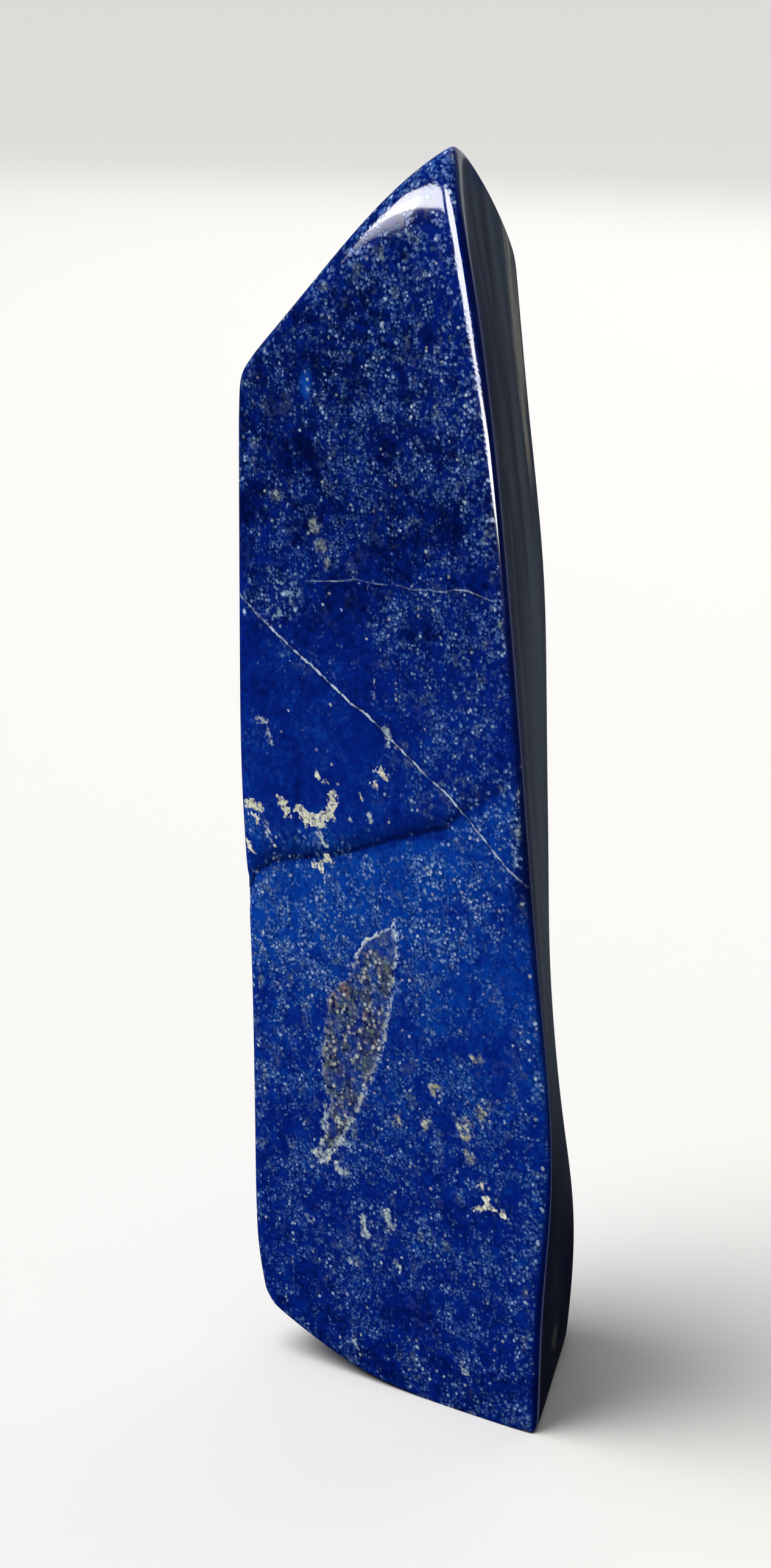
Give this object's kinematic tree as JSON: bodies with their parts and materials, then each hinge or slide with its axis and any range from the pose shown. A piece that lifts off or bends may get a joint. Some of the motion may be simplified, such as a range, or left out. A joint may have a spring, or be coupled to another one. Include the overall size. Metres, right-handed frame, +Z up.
{
  "type": "polished lapis lazuli tower",
  "caption": "Tall polished lapis lazuli stone with a slanting top, a broad flat face, rounded edges and a flat base to stand on.",
  "frame": {"origin": "on the ground, under the middle of the stone's bounding box", "axes": "+Z up along the stone's height, the broad flat face looks along -Y, +X to the right of that face"},
  "size_m": [0.0613, 0.0402, 0.2002],
  "materials": {
    "polished_lapis": "hand-polished ultramarine lazurite with fine calcite and pyrite flecks, thin white veins and cream calcite patches"
  },
  "bodies": {
    "root": {"lapis_stone": "polished_lapis"}
  },
  "joints": []
}
